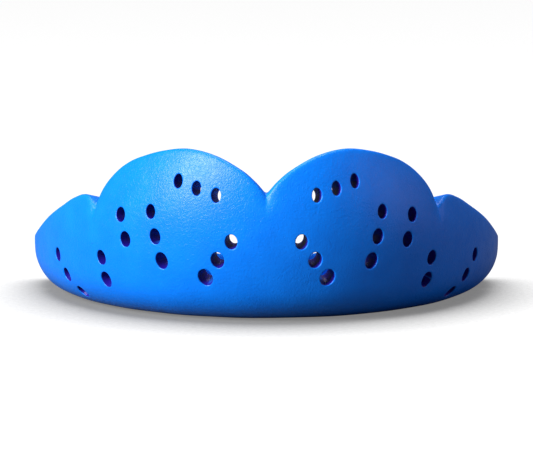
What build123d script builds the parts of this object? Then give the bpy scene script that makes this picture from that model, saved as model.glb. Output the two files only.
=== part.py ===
"""A perforated thermoplastic mouthguard, as it comes before it is fitted to the teeth.

The guard is one sheet of hard thermoplastic, cut with a lobed edge, punched with holes and formed
into a U-shaped trough: a flat bite plate, a round fold, and a tall outer wall that covers the front teeth.
The frame stands the guard on its bite plate: +Z is up, -Y is the front, and the origin is the centre
of the bounding box's underside. Lengths are in millimetres and angles in degrees.

A station is an angle round the dental arch, 0 at the midline and 90 at the arch's widest place.
A place on the sheet is a station and a run: the distance along the sheet's outer face, measured up the
wall from the line where the bite plate ends and the fold starts, and negative on the bite plate.
"""

import os
from math import acos, cos, degrees, radians, sin

from build123d import *

# The sheet and the arch
THICKNESS = 2.6
ARCH_HALF_WIDTH = 32.9  # midline to the rim, before the wings turn in
ARCH_LENGTH = 48.8  # front of the rim to the arch's widest place
LAST_STATION = 87.0
EASED_STATION = 80.0  # sizes given for the wings hold from here back
CLOSING_STATION = 55.0  # from here back the wings turn in from the ellipse
CLOSING = 0.0016  # and how fast, in millimetres per square degree past that station

# The fold and the wall, at the midline and at the wings. The fold turns the sheet up by FOLD_TURN,
# and the wall goes on turning, at a much larger radius, as far as the rim.
FOLD_RADIUS = (7.6, 5.4)
FOLD_TURN = (62.8, 86.0)
WALL_RADIUS = (23.0, 20.0)

# The bite plate ends in a low lip on its tongue side: it turns up by LIP_TURN and runs on straight
LIP_RADIUS = 5.0
LIP_TURN = 75.0
LIP_STRAIGHT = 3.0
LIP_HEIGHT = LIP_RADIUS * (1 - cos(radians(LIP_TURN))) + LIP_STRAIGHT * sin(radians(LIP_TURN))
TONGUE_EDGE = (16.2, 19.5)  # rim to tongue edge, at the midline and at the wings

# Height of the rim at each station: a tall front lobe, and a lower side lobe that runs down to the wing's end
FRONT_LOBE = [(0.0, 16.7), (2.5, 18.3), (6.0, 19.9), (12.0, 21.5), (19.0, 22.2), (26.0, 21.7),
              (32.0, 20.7), (35.0, 19.9), (38.0, 18.6), (41.0, 16.5), (43.0, 13.9)]
SIDE_LOBE = [(43.0, 13.9), (46.5, 15.1), (51.0, 14.5), (56.0, 13.0), (62.0, 11.2), (69.0, 9.0),
             (75.0, 7.6), (81.0, 6.9), (LAST_STATION, 6.6)]

# At the wing's end the lip's and the wall's top corners are rounded, as seen from the side
LIP_END_ROUND = 4.0
WALL_END_ROUND = 3.0
MARGIN = 1.0  # how far a cutter passes the sheet

# Punched holes, in straight rows: first hole's station and run, step to the next, count, width and length,
# and how much larger each next hole is. Forming draws the rim in, so holes near it are narrower than long.
WALL_ROWS = [
    ((11.1, 21.05), (4.5, 0.7), 3, 1.25, 1.85, 0.0),
    ((7.8, 15.25), (3.3, -2.5), 3, 1.55, 1.95, 0.17),
    ((26.4, 18.2), (-1.05, -3.1), 3, 1.45, 1.85, 0.17),
    ((34.35, 17.2), (-1.3, -3.05), 2, 1.65, 1.90, 0.1),
    ((40.4, 11.1), (-0.25, -2.95), 2, 1.75, 1.90, 0.15),
    ((56.1, 9.85), (-2.6, -2.45), 3, 1.70, 1.80, 0.05),
    ((75.0, 6.6), (-0.6, -3.1), 2, 1.75, 1.80, 0.05),
]
PLATE_HOLE = 1.9
PLATE_PITCH = 3.3
PLATE_STATIONS = (6.5, 18.0, 28.5, 37.5, 46.0, 53.5, 61.0, 68.5, 76.0)
PLATE_FIRST_RUN = -0.8
PLATE_EDGE_ROOM = 6.4  # tongue edge to the centre of the nearest hole, at least

depth = ARCH_LENGTH * (1 - cos(radians(LAST_STATION)))


def ease(ends, station):
    """A value that changes smoothly from the midline to the wings."""
    share = min(station / EASED_STATION, 1)
    share = share * share * (3 - 2 * share)
    return ends[0] + (ends[1] - ends[0]) * share


def rim_place(station):
    """The rim's place in plan at a station, and the outward direction there."""
    angle = radians(station)
    past = max(station - CLOSING_STATION, 0)
    half_width = ARCH_HALF_WIDTH * sin(angle) - CLOSING * past**2
    widening = ARCH_HALF_WIDTH * cos(angle) - CLOSING * 2 * past * degrees(1)
    place = Vector(half_width, ARCH_LENGTH * (1 - cos(angle)) - depth / 2, 0)
    outward = Vector(ARCH_LENGTH * sin(angle), -widening, 0).normalized()
    return place, outward


def fold_start(station):
    """How far inside the rim the bite plate ends and the fold starts."""
    turn = sin(radians(ease(FOLD_TURN, station)))
    return ease(FOLD_RADIUS, station) * turn + ease(WALL_RADIUS, station) * (1 - turn)


def section_plane(station):
    """The upright plane across the sheet, its X outward and its Y up."""
    place, outward = rim_place(station)
    return Plane(origin=place, x_dir=outward, z_dir=outward.cross(Vector(0, 0, 1)))


def wall_turn(station, height):
    """How far the wall turns past the fold before its outer face is this high."""
    turn = radians(ease(FOLD_TURN, station))
    risen = ease(FOLD_RADIUS, station) * (1 - cos(turn))
    return degrees(acos(cos(turn) - (height - risen) / ease(WALL_RADIUS, station)) - turn)


def outer_face(station, run):
    """The plane that touches the outer face at a place on the sheet, its Z out of the sheet and its X round the arch."""
    place, outward = rim_place(station)
    fold_radius = ease(FOLD_RADIUS, station)
    wall_radius = ease(WALL_RADIUS, station)
    fold_turn = radians(ease(FOLD_TURN, station))
    fold_length = fold_radius * fold_turn
    if run <= 0:
        across, height, turn = run, 0, 0
    elif run < fold_length:
        turn = run / fold_radius
        across = fold_radius * sin(turn)
        height = fold_radius * (1 - cos(turn))
    else:
        turn = fold_turn + (run - fold_length) / wall_radius
        across = fold_radius * sin(fold_turn) + wall_radius * (sin(turn) - sin(fold_turn))
        height = fold_radius * (1 - cos(fold_turn)) + wall_radius * (cos(fold_turn) - cos(turn))
    up = Vector(0, 0, 1)
    origin = place + outward * (across - fold_start(station)) + up * height
    return Plane(origin=origin, x_dir=outward.cross(up), z_dir=outward * sin(turn) - up * cos(turn))


def sheet_section(station, height):
    """The sheet's section at a station, from its tongue edge to its rim."""
    lip_turn = radians(LIP_TURN)
    tongue_edge = Vector(-ease(TONGUE_EDGE, station), LIP_HEIGHT)
    downward = Vector(cos(lip_turn), -sin(lip_turn))
    with BuildSketch(section_plane(station)) as section:
        with BuildLine():
            edge = Line(tongue_edge, tongue_edge + downward * LIP_STRAIGHT)
            lip = JernArc(edge @ 1, downward, LIP_RADIUS, LIP_TURN)
            plate = Line(lip @ 1, (-fold_start(station), 0))
            fold = JernArc(plate @ 1, (1, 0), ease(FOLD_RADIUS, station), ease(FOLD_TURN, station))
            JernArc(fold @ 1, fold % 1, ease(WALL_RADIUS, station), wall_turn(station, height))
            offset(amount=THICKNESS, side=Side.LEFT)
        make_face()
    return section.sketch


def row_places(row):
    """Every hole of a straight row: its station, run, width and length."""
    (station, run), (station_step, run_step), count, width, length, growth = row
    return [
        (station + i * station_step, run + i * run_step, width + i * growth, length + i * growth)
        for i in range(count)
    ]


def wing_corners():
    """The wing's two square corners: each one's plane, X forward along the edge and Y down, and its round."""
    up = Vector(0, 0, 1)
    edges = []
    for station, height in SIDE_LOBE[-2:]:
        place, outward = rim_place(station)
        edges.append((place - outward * ease(TONGUE_EDGE, station) + up * LIP_HEIGHT, place + up * height))
    (lip_before, wall_before), (lip, wall) = edges
    return [
        (Plane(origin=lip, x_dir=lip_before - lip, z_dir=outward), LIP_END_ROUND),
        (Plane(origin=wall, x_dir=wall_before - wall, z_dir=outward), WALL_END_ROUND),
    ]


with BuildPart() as front_half:
    for station, height in FRONT_LOBE:
        add(sheet_section(station, height))
    loft()

with BuildPart() as side_half:
    for station, height in SIDE_LOBE:
        add(sheet_section(station, height))
    loft()
    for corner_plane, radius in wing_corners():
        with BuildSketch(corner_plane):
            with Locations((-MARGIN, -MARGIN)):
                Rectangle(radius + MARGIN, radius + MARGIN, align=Align.MIN)
            with Locations((radius, radius)):
                Circle(radius, mode=Mode.SUBTRACT)
        extrude(amount=THICKNESS * 2, both=True, mode=Mode.SUBTRACT)

holes = [hole for row in WALL_ROWS for hole in row_places(row)]
for i, station in enumerate(PLATE_STATIONS):
    first = PLATE_FIRST_RUN - (i % 2) * PLATE_PITCH / 2
    room = ease(TONGUE_EDGE, station) - fold_start(station) - PLATE_EDGE_ROOM + first
    for j in range(1 + int(room / PLATE_PITCH)):
        holes.append((station, first - j * PLATE_PITCH, PLATE_HOLE, PLATE_HOLE))

with BuildPart() as punches:
    for station, run, width, length in holes:
        with BuildSketch(outer_face(station, run)):
            Ellipse(width / 2, length / 2)
    extrude(amount=THICKNESS * 2, both=True)

with BuildPart() as mouthguard:
    add(front_half)
    add(side_half)
    add(punches, mode=Mode.SUBTRACT)
    mirror(about=Plane.YZ)

mouthguard.part.label = "mouthguard"
os.makedirs("parts", exist_ok=True)
export_step(mouthguard.part, "parts/mouthguard.step")
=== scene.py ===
from math import acos, atan2, cos, degrees, exp, hypot, pi, radians, sin, sqrt

import bmesh
import bpy
import numpy as np
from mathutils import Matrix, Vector, noise


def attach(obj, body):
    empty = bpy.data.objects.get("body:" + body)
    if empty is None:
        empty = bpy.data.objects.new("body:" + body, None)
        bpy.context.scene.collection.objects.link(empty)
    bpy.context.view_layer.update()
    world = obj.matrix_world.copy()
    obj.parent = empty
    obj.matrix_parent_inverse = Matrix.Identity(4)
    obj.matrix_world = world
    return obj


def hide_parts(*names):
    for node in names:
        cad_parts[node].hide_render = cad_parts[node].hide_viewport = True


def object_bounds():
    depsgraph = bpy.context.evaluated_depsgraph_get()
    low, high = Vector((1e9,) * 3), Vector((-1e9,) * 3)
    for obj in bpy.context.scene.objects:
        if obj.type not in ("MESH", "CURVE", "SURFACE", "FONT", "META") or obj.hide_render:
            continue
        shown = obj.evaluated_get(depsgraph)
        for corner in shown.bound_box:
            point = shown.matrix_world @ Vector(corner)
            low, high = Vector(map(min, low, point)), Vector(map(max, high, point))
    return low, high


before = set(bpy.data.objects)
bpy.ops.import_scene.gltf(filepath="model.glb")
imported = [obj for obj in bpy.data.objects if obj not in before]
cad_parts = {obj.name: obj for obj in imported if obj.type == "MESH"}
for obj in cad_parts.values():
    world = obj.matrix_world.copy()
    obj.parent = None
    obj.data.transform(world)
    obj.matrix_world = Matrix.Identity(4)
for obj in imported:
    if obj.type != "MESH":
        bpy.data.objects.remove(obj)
cad_box = [list(corner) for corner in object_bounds()]


# ---------------------------------------------------------------------------------------------
# The blank: one flat sheet of hard blue thermoplastic, cut with four lobes along its top and
# rounded corners, before it is punched and formed. Its X is a station, an angle round the dental
# arch, and its Y is a run, the distance up the outer face from where the bite plate ends.
# ---------------------------------------------------------------------------------------------

THICKNESS = 2.6
ARCH_HALF_WIDTH = 32.9
ARCH_LENGTH = 48.8
LAST_STATION = 87.0
NOTCH_STATION = 43.0  # the notch between the front lobe and the side lobe
EASED_STATION = 80.0  # sizes given for the wings hold from here back
CLOSING_STATION = 55.0  # from here back the wings turn in
CLOSING = 0.0016  # and how fast, in millimetres per square degree past that station
DEPTH = ARCH_LENGTH * (1 - cos(radians(LAST_STATION)))
UP = Vector((0, 0, 1))

# the fold, the wall above it, and how far the tongue edge is inside the rim: at the midline, at the wings
FOLD_RADIUS = (7.6, 5.4)
FOLD_TURN = (62.8, 86.0)
WALL_RADIUS = (23.0, 20.0)
TONGUE_EDGE = (16.2, 19.5)
LIP_RADIUS = 5.0
LIP_TURN = radians(75.0)
LIP_STRAIGHT = 3.0  # beyond its bend
LIP_DEPTH = LIP_RADIUS * sin(LIP_TURN) + LIP_STRAIGHT * cos(LIP_TURN)

# (station, height of the rim)
FRONT_LOBE = [(0.0, 16.7), (2.5, 18.3), (6.0, 19.9), (12.0, 21.5), (19.0, 22.2), (26.0, 21.7),
              (32.0, 20.7), (35.0, 19.9), (38.0, 18.6), (41.0, 16.5), (NOTCH_STATION, 13.9)]
SIDE_LOBE = [(NOTCH_STATION, 13.9), (46.5, 15.1), (51.0, 14.5), (56.0, 13.0), (62.0, 11.2), (69.0, 9.0),
             (75.0, 7.6), (81.0, 6.9), (LAST_STATION, 6.6)]

TONGUE_CORNER = 4.0
WALL_CORNER = 3.0
EDGE_ROW = 0.85  # first row of the weave, from any cut edge
FRONT_COLUMNS = 76
SIDE_COLUMNS = 84
ROWS = 76
CROWDING = 0.05  # how much closer together the front columns stand at the notches
# millimetres to a degree of station: along the tongue edge and the rim at the wings, and over the front
TONGUE_DEGREE = 0.64
RIM_DEGREE = 0.85
FRONT_DEGREE = 0.6


def ease(ends, station):
    """A size that changes smoothly from the midline to the wings."""
    share = min(abs(station) / EASED_STATION, 1)
    share = share * share * (3 - 2 * share)
    return ends[0] + (ends[1] - ends[0]) * share


def smooth_line(points, x):
    """The height at x of the smooth line through these points."""
    i = max(j for j in range(len(points) - 1) if points[j][0] <= x or j == 0)
    slopes = []
    for j in (i, i + 1):
        (x0, y0), (x1, y1) = points[max(j - 1, 0)], points[min(j + 1, len(points) - 1)]
        slopes.append((y1 - y0) / (x1 - x0))
    (x0, y0), (x1, y1) = points[i], points[i + 1]
    gap = x1 - x0
    t = (x - x0) / gap
    return (y0 * (1 + 2 * t) * (1 - t) ** 2 + y1 * t * t * (3 - 2 * t)
            + gap * slopes[0] * t * (1 - t) ** 2 + gap * slopes[1] * t * t * (t - 1))


def fold_start(station):
    """How far inside the rim the bite plate ends and the fold starts."""
    turn = sin(radians(ease(FOLD_TURN, station)))
    return ease(FOLD_RADIUS, station) * turn + ease(WALL_RADIUS, station) * (1 - turn)


def rim_run(station):
    """The run of the sheet's lobed top edge."""
    height = smooth_line(FRONT_LOBE if abs(station) <= NOTCH_STATION else SIDE_LOBE, abs(station))
    turn = radians(ease(FOLD_TURN, station))
    radius = ease(FOLD_RADIUS, station)
    wall_radius = ease(WALL_RADIUS, station)
    wall_turn = acos(cos(turn) - (height - radius * (1 - cos(turn))) / wall_radius) - turn
    return radius * turn + wall_radius * wall_turn


def tongue_run(station):
    """The run of the tongue edge, at the end of the low lip."""
    plate = ease(TONGUE_EDGE, station) - fold_start(station) - LIP_DEPTH
    return -plate - LIP_RADIUS * LIP_TURN - LIP_STRAIGHT


def rounded(along, across, radius):
    """A place near a square corner, given by how far it is from the two edges, moved in to a round one."""
    if along >= radius or across >= radius:
        return along, across
    u, w = 1 - along / radius, 1 - across / radius
    return radius * (1 - u * sqrt(1 - w * w / 2)), radius * (1 - w * sqrt(1 - u * u / 2))


def spaced(start, end, count, first, last):
    """Places from start to end, even but for the first and last gap."""
    inner = [start + first + (end - start - first - last) * i / (count - 2) for i in range(count - 1)]
    return [start, *inner, end]


def steepness(station):
    """How much longer than upright a step square to the lobed edge is, measured up the sheet."""
    here, aside = rim_run(station), 0.3
    slope = max(abs(rim_run(station + turn) - here) for turn in (-aside, aside)) / aside / FRONT_DEGREE
    return hypot(1, slope)


# the columns stand closer together at the notches
stations = [NOTCH_STATION * (i / FRONT_COLUMNS - CROWDING * sin(2 * pi * i / FRONT_COLUMNS))
            for i in range(FRONT_COLUMNS)]
side_turn = LAST_STATION - EDGE_ROW / RIM_DEGREE - NOTCH_STATION
stations += [NOTCH_STATION + side_turn * i / (SIDE_COLUMNS - 1) for i in range(SIDE_COLUMNS)]
stations += [LAST_STATION]
stations = [-station for station in reversed(stations[1:])] + stations

bpy.ops.object.select_all(action="DESELECT")
bpy.ops.mesh.primitive_grid_add(x_subdivisions=len(stations) - 1, y_subdivisions=ROWS, size=2)
guard = bpy.context.active_object
guard.name = "guard"
for vertex in guard.data.vertices:
    column = round((vertex.co.x + 1) / 2 * (len(stations) - 1))
    row = round((vertex.co.y + 1) / 2 * ROWS)
    station = stations[column]
    low, high = tongue_run(station), rim_run(station)
    run = spaced(low, high, ROWS, EDGE_ROW, EDGE_ROW * steepness(station))[row]
    left = (LAST_STATION - abs(station)) * TONGUE_DEGREE
    along, across = rounded(left, run - low, TONGUE_CORNER)
    if across != run - low:
        run, left = low + across, along
        station = (LAST_STATION - left / TONGUE_DEGREE) * (1 if station > 0 else -1)
    else:
        left = (LAST_STATION - abs(station)) * RIM_DEGREE
        along, across = rounded(left, high - run, WALL_CORNER)
        run = high - across
        station = (LAST_STATION - along / RIM_DEGREE) * (1 if station > 0 else -1)
    vertex.co = (station, run, 0)


# ---------------------------------------------------------------------------------------------
# The holes: rows of small ellipses punched through the flat blank, for breathing and so that
# the sheet can flex. Each is punched out of the weave of faces and given a clean round collar.
# ---------------------------------------------------------------------------------------------

# first hole's (station, run), step to the next, count, width, length, growth from one to the next
WALL_ROWS = [
    ((11.1, 21.05), (4.5, 0.7), 3, 1.25, 1.85, 0.0),
    ((7.8, 15.25), (3.3, -2.5), 3, 1.55, 1.95, 0.17),
    ((26.4, 18.2), (-1.05, -3.1), 3, 1.45, 1.85, 0.17),
    ((34.35, 17.2), (-1.3, -3.05), 2, 1.65, 1.90, 0.1),
    ((40.4, 11.1), (-0.25, -2.95), 2, 1.75, 1.90, 0.15),
    ((56.1, 9.85), (-2.6, -2.45), 3, 1.70, 1.80, 0.05),
    ((75.0, 6.6), (-0.6, -3.1), 2, 1.75, 1.80, 0.05),
]
PLATE_HOLE = 1.9
PLATE_PITCH = 3.3
PLATE_STATIONS = (6.5, 18.0, 28.5, 37.5, 46.0, 53.5, 61.0, 68.5, 76.0)
PLATE_FIRST_RUN = -0.8
PLATE_EDGE_ROOM = 6.4
COLLAR = 0.27  # how far the clean collar reaches round a hole
NEAR = (12, 4)  # degrees and millimetres from a hole beyond which it touches nothing


def formed(station, run):
    """The outer face's place at a station and run once the sheet is formed, and the way out of the sheet."""
    angle = radians(station)
    past = max(abs(station) - CLOSING_STATION, 0)
    side = 1 if station > 0 else -1
    half_width = ARCH_HALF_WIDTH * sin(angle) - side * CLOSING * past ** 2
    widening = ARCH_HALF_WIDTH * cos(angle) - CLOSING * 2 * past * degrees(1)
    place = Vector((half_width, ARCH_LENGTH * (1 - cos(angle)) - DEPTH / 2, 0))
    outward = Vector((ARCH_LENGTH * sin(angle), -widening, 0)).normalized()
    radius = ease(FOLD_RADIUS, station)
    wall_radius = ease(WALL_RADIUS, station)
    fold_turn = radians(ease(FOLD_TURN, station))
    plate = ease(TONGUE_EDGE, station) - fold_start(station) - LIP_DEPTH
    if run < -plate:
        turn = max((run + plate) / LIP_RADIUS, -LIP_TURN)
        beyond = -run - plate + LIP_RADIUS * turn
        across = -plate + LIP_RADIUS * sin(turn) - beyond * cos(turn)
        height = LIP_RADIUS * (1 - cos(turn)) - beyond * sin(turn)
    elif run <= 0:
        turn, across, height = 0, run, 0
    elif run < radius * fold_turn:
        turn = run / radius
        across, height = radius * sin(turn), radius * (1 - cos(turn))
    else:
        turn = fold_turn + (run - radius * fold_turn) / wall_radius
        across = radius * sin(fold_turn) + wall_radius * (sin(turn) - sin(fold_turn))
        height = radius * (1 - cos(fold_turn)) + wall_radius * (cos(fold_turn) - cos(turn))
    return place + outward * (across - fold_start(station)) + UP * height, outward * sin(turn) - UP * cos(turn)


holes = []
for (station, run), (station_step, run_step), count, width, length, growth in WALL_ROWS:
    holes += [(station + i * station_step, run + i * run_step, width + i * growth, length + i * growth)
              for i in range(count)]
for i, station in enumerate(PLATE_STATIONS):
    first = PLATE_FIRST_RUN - (i % 2) * PLATE_PITCH / 2
    room = ease(TONGUE_EDGE, station) - fold_start(station) - PLATE_EDGE_ROOM + first
    for j in range(1 + int(room / PLATE_PITCH)):
        holes.append((station, first - j * PLATE_PITCH, PLATE_HOLE, PLATE_HOLE))
holes += [(-station, run, width, length) for station, run, width, length in holes]


def from_hole(hole, place, collar=0.0):
    """A place on the blank seen from a hole's middle: its direction, and its distance in collar radii."""
    station, run, width, length = hole
    per_degree = (formed(station + 0.5, run)[0] - formed(station - 0.5, run)[0]).length
    along = (place.x - station) * per_degree / (width / 2 + collar)
    up = (place.y - run) / (length / 2 + collar)
    return atan2(up, along), hypot(along, up), per_degree


def collar_place(hole, direction, collar):
    """The place on the blank in this direction, on a hole's own edge or out on its collar."""
    station, run, width, length = hole
    per_degree = from_hole(hole, Vector((station, run, 0)))[2]
    return Vector((station + cos(direction) * (width / 2 + collar) / per_degree,
                   run + sin(direction) * (length / 2 + collar), 0))


def holes_near(place):
    """The holes that could reach this place on the blank."""
    return [hole for hole in holes if abs(hole[0] - place.x) < NEAR[0] and abs(hole[1] - place.y) < NEAR[1]]


bpy.ops.object.mode_set(mode="EDIT")
bpy.ops.mesh.select_mode(type="FACE")
bpy.ops.mesh.select_all(action="DESELECT")
blank = bmesh.from_edit_mesh(guard.data)
for edge in blank.edges:
    edge.seam = edge.is_boundary
for face in blank.faces:
    middle = face.calc_center_median()
    face.select = any(from_hole(hole, middle, COLLAR / 2)[1] < 1.0 for hole in holes_near(middle))
bmesh.update_edit_mesh(guard.data)
bpy.ops.mesh.delete(type="FACE")

# walk round each punched loop and space its corners evenly on the collar
bpy.ops.mesh.select_mode(type="EDGE")
bpy.ops.mesh.select_all(action="DESELECT")
blank = bmesh.from_edit_mesh(guard.data)
hole_of = blank.verts.layers.int.new("hole")
direction_of = blank.verts.layers.float.new("direction")
for vertex in blank.verts:
    vertex[hole_of] = -1
punched = {edge for edge in blank.edges if edge.is_boundary and not edge.seam}
for edge in punched:
    edge.select = True
while punched:
    edge = punched.pop()
    loop = [edge.verts[0], edge.verts[1]]
    while True:
        step = next((edge for edge in loop[-1].link_edges if edge in punched), None)
        if step is None:
            break
        punched.remove(step)
        loop.append(step.other_vert(loop[-1]))
    loop.pop()
    middle = sum((vertex.co for vertex in loop), Vector()) / len(loop)
    hole = min(holes, key=lambda hole: from_hole(hole, middle)[1])
    directions = [from_hole(hole, vertex.co, COLLAR)[0] for vertex in loop]
    for i in range(1, len(directions)):
        while directions[i] - directions[i - 1] > pi:
            directions[i] -= 2 * pi
        while directions[i] - directions[i - 1] < -pi:
            directions[i] += 2 * pi
    turn = 2 * pi / len(loop) * (1 if directions[-1] > directions[0] else -1)
    start = sum(direction - i * turn for i, direction in enumerate(directions)) / len(loop)
    for i, vertex in enumerate(loop):
        vertex.co = collar_place(hole, start + i * turn, COLLAR)
        vertex[hole_of] = holes.index(hole)
        vertex[direction_of] = start + i * turn
bmesh.update_edit_mesh(guard.data)
bpy.ops.mesh.extrude_edges_move()

# the new corners go in to the hole's own edge, and the weave round the collars is evened out
blank = bmesh.from_edit_mesh(guard.data)
hole_of = blank.verts.layers.int["hole"]
direction_of = blank.verts.layers.float["direction"]
for vertex in blank.verts:
    if vertex.select:
        vertex.co = collar_place(holes[vertex[hole_of]], vertex[direction_of], 0)
for vertex in blank.verts:
    vertex.select = (not vertex.is_boundary and vertex[hole_of] < 0 and any(
        from_hole(hole, vertex.co, COLLAR)[1] < 2.0 for hole in holes_near(vertex.co)))
bpy.ops.mesh.select_mode(type="VERT")
bmesh.update_edit_mesh(guard.data)
bpy.ops.mesh.vertices_smooth(factor=0.5, repeat=4)
bpy.ops.object.mode_set(mode="OBJECT")


# ---------------------------------------------------------------------------------------------
# The forming: the hot blank is pressed over an arch, which folds it into a trough. The press
# pinches a short valley below each notch between two lobes. The sheet then gets its thickness,
# and its cut edges and hole rims are rounded.
# ---------------------------------------------------------------------------------------------

NOTCHES = (-NOTCH_STATION, 0.0, NOTCH_STATION)
VALLEY_DEPTH = 0.45
VALLEY_HALF_WIDTH = 0.7
VALLEY_LENGTH = 1.4
VALLEY_REACH = 8
WAVE_HEIGHT = 0.05
WAVE_LENGTH = 6.0
RIM_ROUND = 0.45
HOLE_ROUND = 0.14
SHARP = radians(50)  # an edge that turns more than this is a cut edge
HOLE_REACH = (0.0034, 0.0015)  # a hole's cut edges lie this near its middle and its axis, in metres

for vertex in guard.data.vertices:
    place, out = formed(vertex.co.x, vertex.co.y)
    wave = WAVE_HEIGHT * noise.noise(place / WAVE_LENGTH)
    vertex.co = (place + out * wave) / 1000

sheet = guard.modifiers.new("sheet", "SOLIDIFY")
sheet.thickness = THICKNESS / 1000
sheet.offset = -1
sheet.use_quality_normals = True
bpy.ops.object.modifier_apply(modifier=sheet.name)

for notch in NOTCHES:
    foot, out = formed(notch, rim_run(notch))
    up = (foot - formed(notch, rim_run(notch) - 1)[0]).normalized()
    along = out.cross(up)
    for vertex in guard.data.vertices:
        reach = vertex.co * 1000 - foot
        if reach.length < VALLEY_REACH:
            aside = abs(reach.dot(along)) / VALLEY_HALF_WIDTH
            below = max(-reach.dot(up), 0) / VALLEY_LENGTH
            vertex.co -= out * VALLEY_DEPTH * exp(-aside - below ** 2) / 1000

hole_middles = [formed(station, run)[0] / 1000 for station, run, _, _ in holes]
hole_outs = [formed(station, run)[1] for station, run, _, _ in holes]
body = bmesh.new()
body.from_mesh(guard.data)
weight = body.edges.layers.float.new("bevel_weight_edge")
for edge in body.edges:
    if edge.calc_face_angle(0) > SHARP:
        middle = (edge.verts[0].co + edge.verts[1].co) / 2
        reaches = [(middle - hole_middle, out) for hole_middle, out in zip(hole_middles, hole_outs)]
        in_hole = any(reach.length < HOLE_REACH[0] and (reach - out * reach.dot(out)).length < HOLE_REACH[1]
                      for reach, out in reaches)
        edge[weight] = HOLE_ROUND / RIM_ROUND if in_hole else 1.0
body.to_mesh(guard.data)
body.free()

edges = guard.modifiers.new("edges", "BEVEL")
edges.width = RIM_ROUND / 1000
edges.segments = 4
edges.limit_method = "WEIGHT"
edges.use_clamp_overlap = False
bpy.ops.object.modifier_apply(modifier=edges.name)
bpy.ops.object.shade_smooth()

# the walls of the holes are marked for painted shade: they get a dark colour that stands in for the shadow
# inside the holes
WALL_MARGIN = 0.1
WALL_SPREAD = 1.08  # a hole's wall lies within this many of its radii
points = np.empty(len(guard.data.vertices) * 3)
guard.data.vertices.foreach_get("co", points)
points = points.reshape(-1, 3) * 1000
painted_hole_shade = np.zeros(len(points))
for station, run, width, length in holes:
    middle, out = formed(station, run)
    along = (formed(station + 0.5, run)[0] - formed(station - 0.5, run)[0]).normalized()
    up = out.cross(along)
    reach = points - np.array(middle)
    depth = -(reach @ np.array(out))
    from_axis = np.hypot(reach @ np.array(along) / (width / 2), reach @ np.array(up) / (length / 2))
    painted_hole_shade[(from_axis < WALL_SPREAD) & (depth > WALL_MARGIN) & (depth < THICKNESS - WALL_MARGIN)] = 1
guard.data.attributes.new("hole_wall_painted_shade", "FLOAT", "POINT").data.foreach_set("value", painted_hole_shade)


# ---------------------------------------------------------------------------------------------
# The plastic: blue all through, with a fine leathery grain from the forming and a satin shine.
# ---------------------------------------------------------------------------------------------

plastic = bpy.data.materials.new("guard_plastic")
plastic.use_nodes = True
nodes, links = plastic.node_tree.nodes, plastic.node_tree.links
shader = nodes["Principled BSDF"]
shader.inputs["IOR"].default_value = 1.45
shader.inputs["Specular IOR Level"].default_value = 0.25

place = nodes.new("ShaderNodeTexCoord")
millimetres = nodes.new("ShaderNodeMapping")
millimetres.inputs["Scale"].default_value = (1000, 1000, 1000)
links.new(place.outputs["Object"], millimetres.inputs["Vector"])


def speckle(size, detail, distortion=0.0):
    """An even cloudy pattern with patches about this many millimetres across."""
    pattern = nodes.new("ShaderNodeTexNoise")
    pattern.inputs["Scale"].default_value = 1 / size
    pattern.inputs["Detail"].default_value = detail
    pattern.inputs["Roughness"].default_value = 0.55
    pattern.inputs["Distortion"].default_value = distortion
    links.new(millimetres.outputs["Vector"], pattern.inputs["Vector"])
    return pattern.outputs["Fac"]


def spread(tree, value, low, high, least=0.3, most=0.7):
    """A pattern that runs from least to most, stretched so that it runs from low to high."""
    stretch = tree.nodes.new("ShaderNodeMapRange")
    for name, end in (("From Min", least), ("From Max", most), ("To Min", low), ("To Max", high)):
        stretch.inputs[name].default_value = end
    tree.links.new(value, stretch.inputs["Value"])
    return stretch.outputs["Result"]


def mixed(factor, first, second):
    """A colour between two others."""
    mix = nodes.new("ShaderNodeMix")
    mix.data_type = "RGBA"
    for name, colour in (("A", first), ("B", second)):
        if isinstance(colour, tuple):
            mix.inputs[name].default_value = (*colour, 1)
        else:
            links.new(colour, mix.inputs[name])
    links.new(factor, mix.inputs["Factor"])
    return mix.outputs["Result"]


# painted shade: the marked hole walls are coloured dark indigo to stand in for the shadow inside the holes,
# not a colour of the plastic
in_hole = nodes.new("ShaderNodeAttribute")
in_hole.attribute_name = "hole_wall_painted_shade"
blue = mixed(spread(plastic.node_tree, speckle(3.5, 3), 0, 1), (0.0005, 0.140, 0.66), (0.0010, 0.160, 0.72))
links.new(mixed(in_hole.outputs["Fac"], blue, (0.012, 0.006, 0.20)), shader.inputs["Base Color"])
links.new(spread(plastic.node_tree, speckle(1.2, 4), 0.29, 0.39), shader.inputs["Roughness"])

grain = nodes.new("ShaderNodeBump")
grain.inputs["Distance"].default_value = 0.00006
grain.inputs["Strength"].default_value = 1.0
links.new(speckle(0.38, 3, 1.2), grain.inputs["Height"])
links.new(grain.outputs["Normal"], shader.inputs["Normal"])
guard.data.materials.append(plastic)

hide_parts("mouthguard")
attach(guard, "root")


# ---------------------------------------------------------------------------------------------
# The studio: a pale floor and backdrop, a large soft light from the upper left, a weaker one above,
# a faint violet one from the right, and a long lens low in front.
# ---------------------------------------------------------------------------------------------

bpy.ops.object.select_all(action="DESELECT")
bpy.ops.mesh.primitive_circle_add(vertices=96, radius=1.5, fill_type="NGON", location=(0, 0, -0.00006))
floor = bpy.context.active_object
floor.name = "floor"
paper = bpy.data.materials.new("paper")
paper.use_nodes = True
sheet = paper.node_tree
card = sheet.nodes["Principled BSDF"]
card.inputs["Base Color"].default_value = (0.10, 0.10, 0.10, 1)
card.inputs["Roughness"].default_value = 0.9
card.inputs["Specular IOR Level"].default_value = 0.0
where = sheet.nodes.new("ShaderNodeTexCoord")
fleck = sheet.nodes.new("ShaderNodeTexNoise")
fleck.inputs["Scale"].default_value = 1600
fleck.inputs["Detail"].default_value = 2
sheet.links.new(where.outputs["Object"], fleck.inputs["Vector"])
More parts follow.
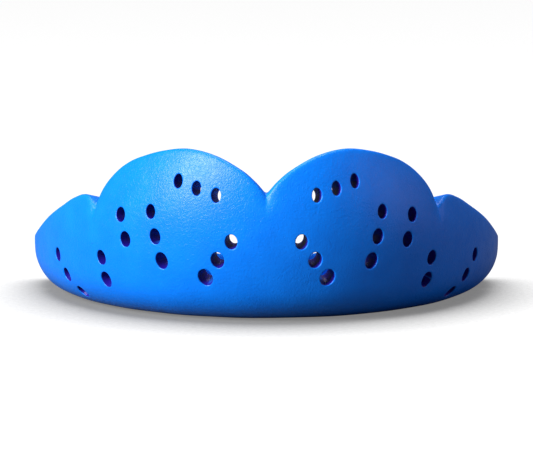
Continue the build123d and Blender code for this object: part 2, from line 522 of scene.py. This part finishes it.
# painted shadow: the floor's glow is darkened where the guard comes down to the card
shade = sheet.nodes.new("ShaderNodeAmbientOcclusion")
shade.inputs["Distance"].default_value = 0.017
shade.samples = 16


def times(first, second):
    """The product of two values of the floor."""
    product = sheet.nodes.new("ShaderNodeMath")
    product.operation = "MULTIPLY"
    sheet.links.new(first, product.inputs[0])
    sheet.links.new(second, product.inputs[1])
    return product.outputs["Value"]


shading = spread(sheet, shade.outputs["AO"], 0.2, 0.93, 0.35, 0.92)
glow = times(shading, spread(sheet, fleck.outputs["Fac"], 0.95, 1.05))
# the glow lights nothing: only the camera sees it
watched = sheet.nodes.new("ShaderNodeLightPath")
sheet.links.new(times(glow, watched.outputs["Is Camera Ray"]), card.inputs["Emission Strength"])
card.inputs["Emission Color"].default_value = (1, 1, 1, 1)
floor.data.materials.append(paper)

world = bpy.data.worlds.new("studio")
bpy.context.scene.world = world
world.use_nodes = True
sky = world.node_tree
seen = sky.nodes.new("ShaderNodeLightPath")
room = sky.nodes["Background"]
room.inputs["Color"].default_value = (1, 1, 1, 1)
room.inputs["Strength"].default_value = 0.15
sweep = sky.nodes.new("ShaderNodeBackground")
sweep.inputs["Color"].default_value = (1, 1, 1, 1)
sweep.inputs["Strength"].default_value = 1.0
either = sky.nodes.new("ShaderNodeMixShader")
sky.links.new(seen.outputs["Is Camera Ray"], either.inputs[0])
sky.links.new(room.outputs[0], either.inputs[1])
sky.links.new(sweep.outputs[0], either.inputs[2])
sky.links.new(either.outputs[0], sky.nodes["World Output"].inputs["Surface"])


def softbox(name, location, size, power, colour=(1, 1, 1)):
    """A square soft light that faces the guard."""
    bpy.ops.object.light_add(type="AREA", location=location)
    lamp = bpy.context.active_object
    lamp.name = name
    lamp.data.size = size
    lamp.data.energy = power
    lamp.data.color = colour
    lamp.rotation_euler = (Vector((0, -0.01, 0.012)) - lamp.location).to_track_quat("-Z", "Y").to_euler()


softbox("key", (-0.42, -0.36, 0.25), 0.28, 8.9)
softbox("top", (-0.02, 0.02, 0.55), 0.40, 3.2)
softbox("side", (0.48, -0.06, 0.06), 0.30, 0.6, (1.0, 0.70, 0.95))

LOOKING_DOWN = radians(7.0)
CAMERA_DISTANCE = 0.44066
TARGET_HEIGHT = 0.01202

bpy.ops.object.camera_add()
camera = bpy.context.active_object
camera.name = "camera"
target = Vector((0, cad_box[0][1], TARGET_HEIGHT))
camera.location = target + Vector((0, -cos(LOOKING_DOWN), sin(LOOKING_DOWN))) * CAMERA_DISTANCE
camera.rotation_euler = (target - camera.location).to_track_quat("-Z", "Y").to_euler()
camera.data.sensor_width = 36
camera.data.lens = 239.6
camera.data.clip_start = 0.01
bpy.context.scene.camera = camera
bpy.context.scene.view_settings.view_transform = "Standard"
